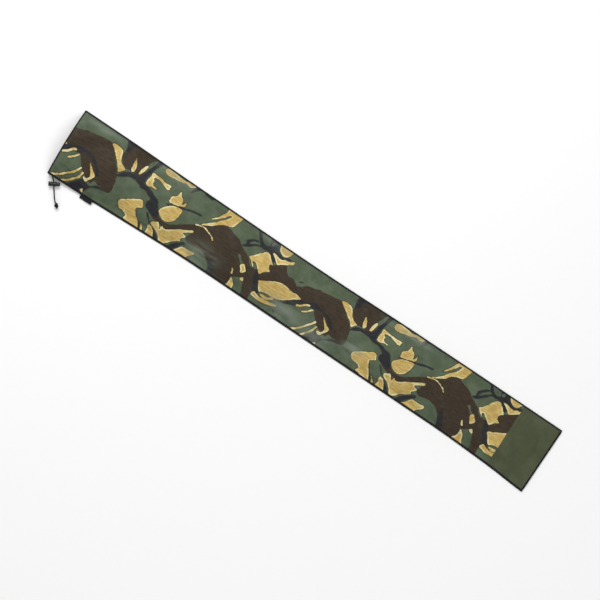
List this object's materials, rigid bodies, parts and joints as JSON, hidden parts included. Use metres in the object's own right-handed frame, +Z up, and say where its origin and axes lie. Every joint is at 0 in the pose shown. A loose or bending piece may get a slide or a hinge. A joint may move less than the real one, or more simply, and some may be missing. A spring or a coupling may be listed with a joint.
{
  "type": "drawstring sleeve bag",
  "caption": "Long slim cloth sleeve bag with a drawcord mouth, side slit, barrel cord lock, webbing tab and a plain base panel, lying flat.",
  "frame": {"origin": "under the middle of the sleeve, on the surface that its back panel rests on", "axes": "+X from the mouth to the base end, +Y across to the plain side, +Z up out of the front panel"},
  "size_m": [1.3, 0.2241, 0.0418],
  "materials": {
    "camouflage_cloth": "woven polyamide cloth printed in green, brown, sand and black",
    "olive_cloth": "plain woven olive cloth",
    "black_tape": "woven binding tape",
    "webbing": "ribbed polyamide webbing",
    "thread": "bonded sewing thread",
    "cord": "braided polyester cord",
    "lock_plastic": "moulded plastic with a fine grain",
    "spring_steel": "drawn wire"
  },
  "bodies": {
    "sleeve": {"front_panel": "camouflage_cloth", "back_panel": "camouflage_cloth", "base_front_panel": "olive_cloth", "base_back_panel": "olive_cloth", "front_channel_tape": "black_tape", "back_channel_tape": "black_tape", "front_slit_hem": "black_tape", "back_slit_hem": "black_tape", "plain_side_binding": "black_tape", "slit_side_binding": "black_tape", "base_end_binding": "black_tape", "front_channel_stitching": "thread", "back_channel_stitching": "thread", "front_joining_stitching": "thread", "back_joining_stitching": "thread", "front_slit_stitching": "thread", "back_slit_stitching": "thread", "side_tab": "webbing", "tab_bartacks": "thread", "slit_bartack": "thread", "drawcord": "cord", "front_cord_tail": "cord", "back_cord_tail": "cord", "cord_knot": "cord"},
    "lock": {"lock_barrel": "lock_plastic", "lock_spring": "spring_steel"},
    "plunger": {"lock_plunger": "lock_plastic"}
  },
  "joints": [
    {"name": "lock_slide", "type": "slide", "parent": "sleeve", "child": "lock", "axis": [0.6, -0.8, 0], "range_m": [0, 0.022]},
    {"name": "plunger_press", "type": "slide", "parent": "lock", "child": "plunger", "axis": [-0.8829, -0.4695, 0], "range_m": [0, 0.003], "stiffness_N_per_m": 600, "deforming": ["lock_spring"]}
  ]
}
